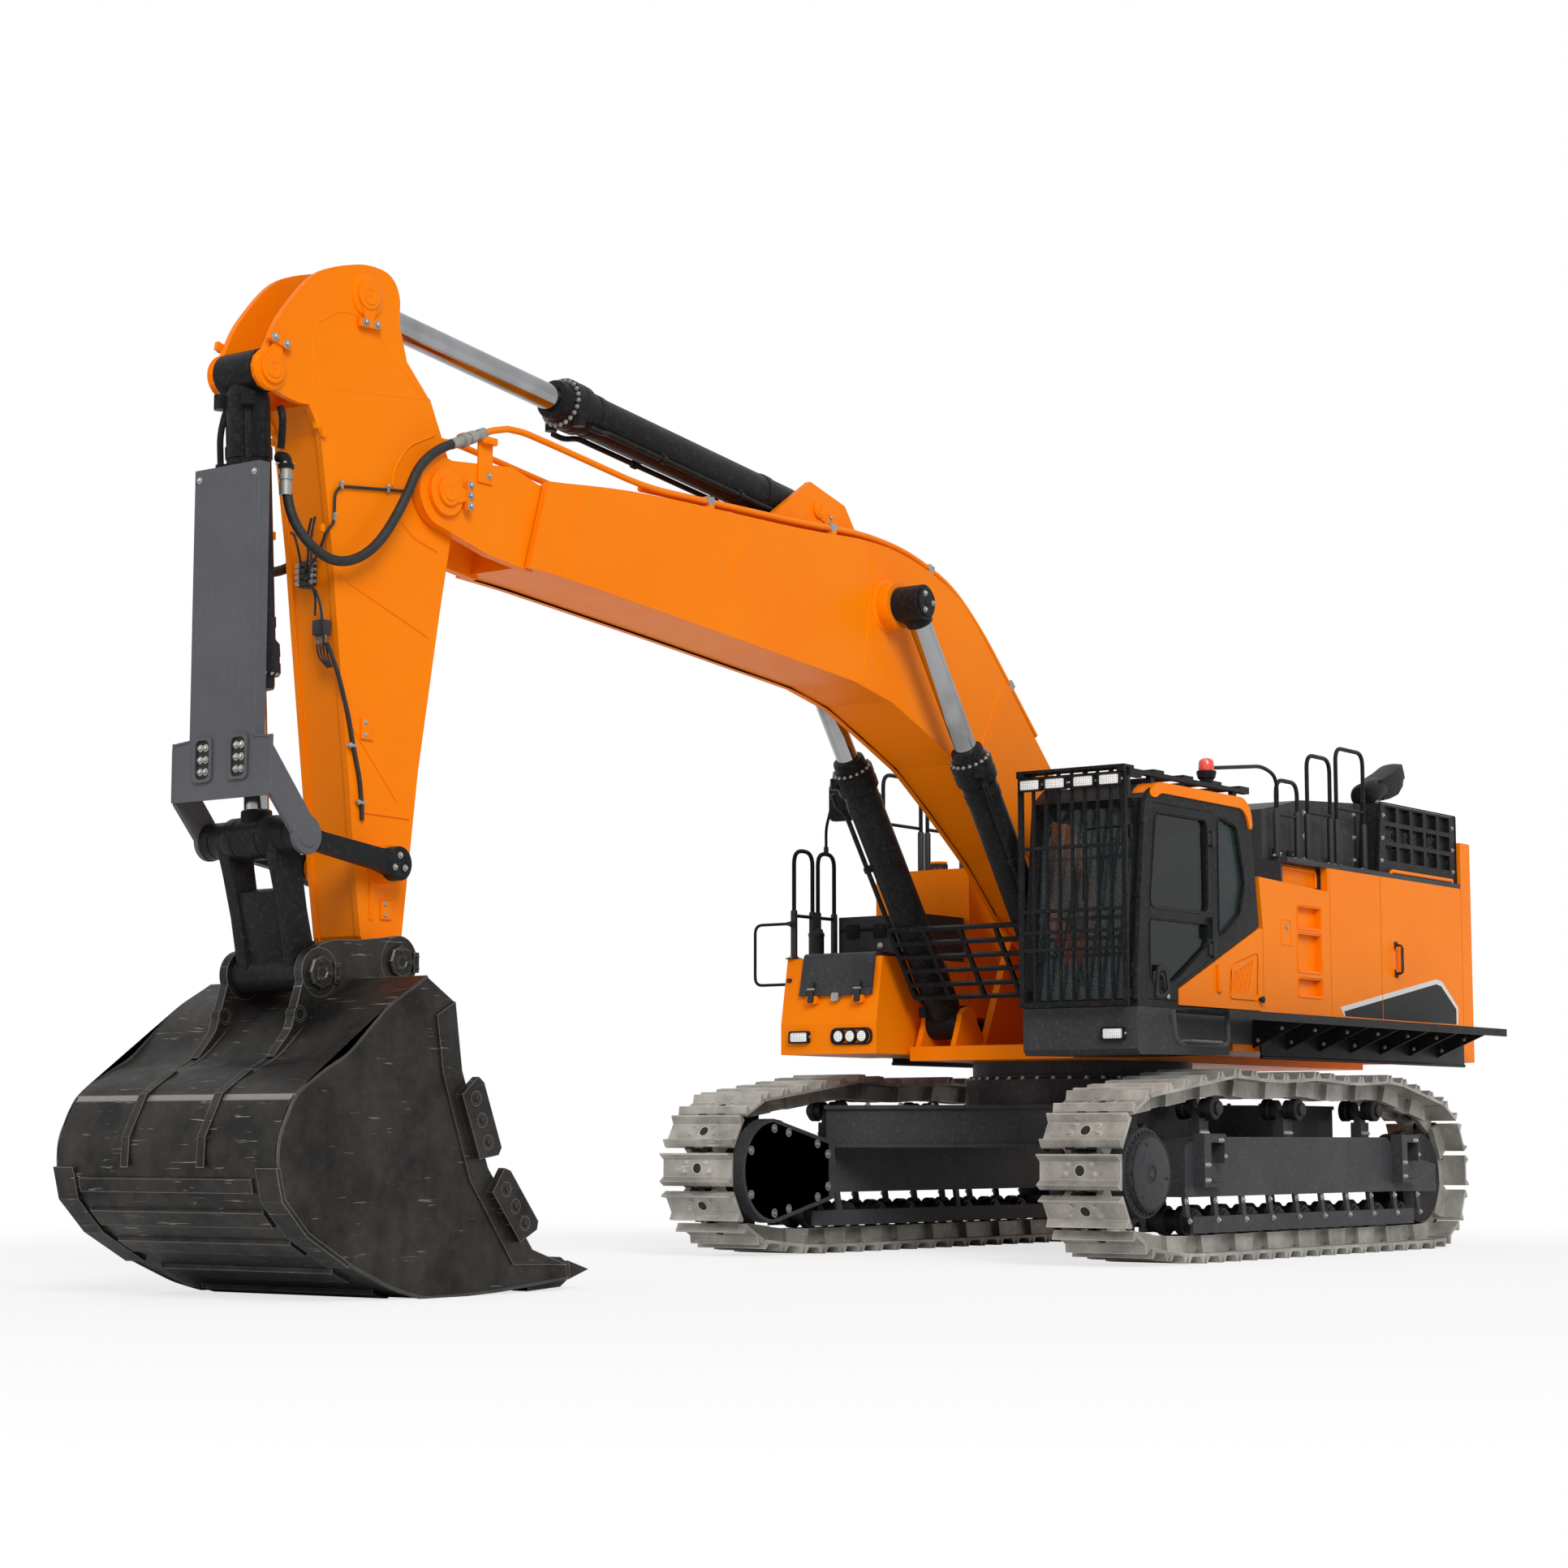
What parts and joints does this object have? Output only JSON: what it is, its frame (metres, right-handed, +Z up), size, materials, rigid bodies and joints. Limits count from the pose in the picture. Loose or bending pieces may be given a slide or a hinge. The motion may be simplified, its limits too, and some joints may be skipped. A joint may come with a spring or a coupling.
{
  "type": "crawler excavator",
  "caption": "Large crawler excavator: tracked undercarriage, slewing upper structure with cab, boom, arm and bucket on hydraulic cylinders with real joints.",
  "frame": {"origin": "on the ground under the middle of the swing bearing, on the axis the upper structure turns about", "axes": "+X points forward along the boom, +Y points to the machine's left, where the cab is, and +Z points up"},
  "size_m": [13.981, 4.3, 6.0531],
  "materials": {
    "arm": "bright orange enamel, clean with light dust",
    "arm_cylinder_barrel": "black enamel, light wear on its edges",
    "arm_cylinder_rod": "hard chrome rod",
    "arm_hoses": "black rubber hose",
    "battery_box": "dark grey enamel, dusty and rubbed on its edges",
    "boom": "bright orange enamel, clean with light dust",
    "boom_cylinder_barrels": "black enamel, light wear on its edges",
    "boom_cylinder_guard": "black enamel, light wear on its edges",
    "boom_cylinder_rods": "hard chrome rod",
    "boom_pipes": "bright orange enamel, clean with light dust",
    "bucket": "dark scratched steel, bright on the edges",
    "bucket_cylinder_barrel": "black enamel, light wear on its edges",
    "bucket_cylinder_rod": "hard chrome rod",
    "bucket_link": "bright orange enamel, clean with light dust",
    "bucket_rod_guard": "dark grey enamel, dusty and rubbed on its edges",
    "bucket_teeth": "dark scratched steel, bright on the edges",
    "cab_door": "black enamel, light wear on its edges",
    "cab_glazing": "clear safety glass, slightly dusty",
    "cab_guard": "black enamel, light wear on its edges",
    "cab_shell": "black enamel, light wear on its edges",
    "cab_skirt": "dark grey enamel, dusty and rubbed on its edges",
    "car_body": "dark grey enamel, dusty and rubbed on its edges",
    "catwalks": "black enamel, light wear on its edges",
    "counterweight": "bright orange enamel, clean with light dust",
    "deck_frame": "bright orange enamel, clean with light dust",
    "door_glazing": "clear safety glass, slightly dusty",
    "engine_block": "dark cast iron block",
    "exhaust": "dark grey enamel, dusty and rubbed on its edges",
    "fixed_panel": "bright orange enamel, clean with light dust",
    "fuel_tank": "bright orange enamel, clean with light dust",
    "grille_cover": "black enamel, light wear on its edges",
    "handrails_left": "black enamel, light wear on its edges",
    "handrails_right": "black enamel, light wear on its edges",
    "hood": "dark grey enamel, dusty and rubbed on its edges",
    "house_frame": "dark grey enamel, dusty and rubbed on its edges",
    "idler_left": "dark grey cast steel, bright on the running faces",
    "idler_right": "dark grey cast steel, bright on the running faces",
    "mirrors": "mirror glass in a black housing",
    "motor_guards": "dark grey enamel, dusty and rubbed on its edges",
    "operator_seat": "black seat cloth on a moulded base",
    "rear_door": "bright orange enamel, clean with light dust",
    "right_panel": "bright orange enamel, clean with light dust",
    "rocker_links": "bright orange enamel, clean with light dust",
    "rollers_left": "dark grey cast steel, bright on the running faces",
    "rollers_right": "dark grey cast steel, bright on the running faces",
    "service_door_right": "bright orange enamel, clean with light dust",
    "side_cutters": "dark scratched steel, bright on the edges",
    "side_panel": "bright orange enamel, clean with light dust",
    "sprocket_left": "dark grey cast steel, bright on the running faces",
    "sprocket_right": "dark grey cast steel, bright on the running faces",
    "swing_bearing": "dark grey enamel, dusty and rubbed on its edges",
    "toolbox": "bright orange enamel, clean with light dust",
    "toolbox_lid": "dark grey enamel, dusty and rubbed on its edges",
    "track_frame_left": "dark grey enamel, dusty and rubbed on its edges",
    "track_frame_right": "dark grey enamel, dusty and rubbed on its edges",
    "track_left": "worn pale steel shoes with bright grouser tips",
    "track_right": "worn pale steel shoes with bright grouser tips",
    "track_steps": "dark grey enamel, dusty and rubbed on its edges",
    "wedge_door": "bright orange enamel, clean with light dust",
    "work_lamps": "black enamel, light wear on its edges"
  },
  "bodies": {
    "undercarriage": {"car_body": "car_body", "swing_bearing": "swing_bearing", "track_frame_left": "track_frame_left", "track_frame_right": "track_frame_right", "track_left": "track_left", "track_right": "track_right", "sprocket_left": "sprocket_left", "sprocket_right": "sprocket_right", "idler_left": "idler_left", "idler_right": "idler_right", "rollers_left": "rollers_left", "rollers_right": "rollers_right", "motor_guards": "motor_guards", "track_steps": "track_steps"},
    "upper_structure": {"deck_frame": "deck_frame", "counterweight": "counterweight", "cab_shell": "cab_shell", "cab_glazing": "cab_glazing", "cab_skirt": "cab_skirt", "operator_seat": "operator_seat", "cab_guard": "cab_guard", "engine_block": "engine_block", "house_frame": "house_frame", "hood": "hood", "grille_cover": "grille_cover", "side_panel": "side_panel", "fixed_panel": "fixed_panel", "right_panel": "right_panel", "exhaust": "exhaust", "catwalks": "catwalks", "toolbox": "toolbox", "battery_box": "battery_box", "fuel_tank": "fuel_tank", "handrails_left": "handrails_left", "handrails_right": "handrails_right", "work_lamps": "work_lamps", "mirrors": "mirrors"},
    "cab_door_leaf": {"cab_door": "cab_door", "door_glazing": "door_glazing"},
    "wedge_door_leaf": {"wedge_door": "wedge_door"},
    "rear_door_leaf": {"rear_door": "rear_door"},
    "service_door_leaf": {"service_door_right": "service_door_right"},
    "toolbox_lid_leaf": {"toolbox_lid": "toolbox_lid"},
    "boom_structure": {"boom": "boom", "boom_pipes": "boom_pipes"},
    "boom_barrels": {"boom_cylinder_barrels": "boom_cylinder_barrels", "boom_cylinder_guard": "boom_cylinder_guard"},
    "boom_rods": {"boom_cylinder_rods": "boom_cylinder_rods"},
    "arm_barrel": {"arm_cylinder_barrel": "arm_cylinder_barrel"},
    "arm_rod": {"arm_cylinder_rod": "arm_cylinder_rod"},
    "arm_structure": {"arm": "arm", "arm_hoses": "arm_hoses"},
    "bucket_barrel": {"bucket_cylinder_barrel": "bucket_cylinder_barrel"},
    "bucket_rod": {"bucket_cylinder_rod": "bucket_cylinder_rod", "bucket_rod_guard": "bucket_rod_guard"},
    "rockers": {"rocker_links": "rocker_links"},
    "link": {"bucket_link": "bucket_link"},
    "bucket_body": {"bucket": "bucket", "bucket_teeth": "bucket_teeth", "side_cutters": "side_cutters"}
  },
  "joints": [
    {"name": "swing", "type": "hinge", "parent": "undercarriage", "child": "upper_structure", "pos_m": [0, 0, 0], "axis": [0, 0, 1], "continuous": true},
    {"name": "boom_hinge", "type": "hinge", "parent": "upper_structure", "child": "boom_structure", "pos_m": [0.25, 0, 2.48], "axis": [0, -1, 0], "range_deg": [-56, 42]},
    {"name": "boom_barrel_hinge", "type": "hinge", "parent": "upper_structure", "child": "boom_barrels", "pos_m": [1.13, 0, 1.79], "axis": [0, -1, 0], "range_deg": [-58.8, 44.1]},
    {"name": "boom_rod_slide", "type": "slide", "parent": "boom_barrels", "child": "boom_rods", "axis": [0.5777, 0, 0.8162], "range_m": [-0.9583, 0.7189]},
    {"name": "arm_hinge", "type": "hinge", "parent": "boom_structure", "child": "arm_structure", "pos_m": [7.875, 0, 4.765], "axis": [0, 1, 0], "range_deg": [-80, 25], "deforming": ["arm_hoses"]},
    {"name": "arm_barrel_hinge", "type": "hinge", "parent": "boom_structure", "child": "arm_barrel", "pos_m": [3.902, 0, 5.325], "axis": [0, 1, 0], "range_deg": [-3.2, 1]},
    {"name": "arm_rod_slide", "type": "slide", "parent": "arm_barrel", "child": "arm_rod", "axis": [0.9935, 0, 0.1141], "range_m": [-1.5643, 0.4892]},
    {"name": "bucket_hinge", "type": "hinge", "parent": "arm_structure", "child": "bucket_body", "pos_m": [8.287, 0, 1.906], "axis": [0, 1, 0], "range_deg": [-50, 80]},
    {"name": "rocker_hinge", "type": "hinge", "parent": "arm_structure", "child": "rockers", "pos_m": [8.333, 0, 2.475], "axis": [0, 1, 0], "range_deg": [-41.5, 66.4]},
    {"name": "bucket_link_hinge", "type": "hinge", "parent": "bucket_body", "child": "link", "pos_m": [8.937, 0, 1.817], "axis": [0, 1, 0], "range_deg": [-56, 35]},
    {"name": "bucket_barrel_hinge", "type": "hinge", "parent": "arm_structure", "child": "bucket_barrel", "pos_m": [9.273, 0, 5.254], "axis": [0, 1, 0], "range_deg": [-2.4, 1.5]},
    {"name": "bucket_rod_slide", "type": "slide", "parent": "bucket_barrel", "child": "bucket_rod", "axis": [-0.0564, 0, -0.9984], "range_m": [-0.4717, 0.7545]},
    {"name": "cab_door_hinge", "type": "hinge", "parent": "upper_structure", "child": "cab_door_leaf", "pos_m": [0.93, 1.7, 2.6], "axis": [0, 0, 1], "range_deg": [0, 95]},
    {"name": "wedge_door_hinge", "type": "hinge", "parent": "upper_structure", "child": "wedge_door_leaf", "pos_m": [0.14, 1.7, 2.2], "axis": [0, 0, 1], "range_deg": [0, 90]},
    {"name": "rear_door_hinge", "type": "hinge", "parent": "upper_structure", "child": "rear_door_leaf", "pos_m": [-3.55, 1.7, 2.4], "axis": [0, 0, 1], "range_deg": [0, 100]},
    {"name": "service_door_hinge", "type": "hinge", "parent": "upper_structure", "child": "service_door_leaf", "pos_m": [-3.55, -1.7, 2.4], "axis": [0, 0, -1], "range_deg": [0, 100]},
    {"name": "toolbox_lid_hinge", "type": "hinge", "parent": "upper_structure", "child": "toolbox_lid_leaf", "pos_m": [1.07, -1.2, 2.335], "axis": [0, -1, 0], "range_deg": [0, 80]}
  ],
  "couplings": [
    {"joint": "boom_barrel_hinge", "follows": "boom_hinge", "ratio": 1.05},
    {"joint": "boom_rod_slide", "follows": "boom_hinge", "m_per_rad": 0.98},
    {"joint": "arm_barrel_hinge", "follows": "arm_hinge", "ratio": 0.04},
    {"joint": "arm_rod_slide", "follows": "arm_hinge", "m_per_rad": 1.12},
    {"joint": "rocker_hinge", "follows": "bucket_hinge", "ratio": 0.83},
    {"joint": "bucket_link_hinge", "follows": "bucket_hinge", "ratio": -0.7},
    {"joint": "bucket_barrel_hinge", "follows": "bucket_hinge", "ratio": -0.03},
    {"joint": "bucket_rod_slide", "follows": "bucket_hinge", "m_per_rad": 0.54}
  ]
}
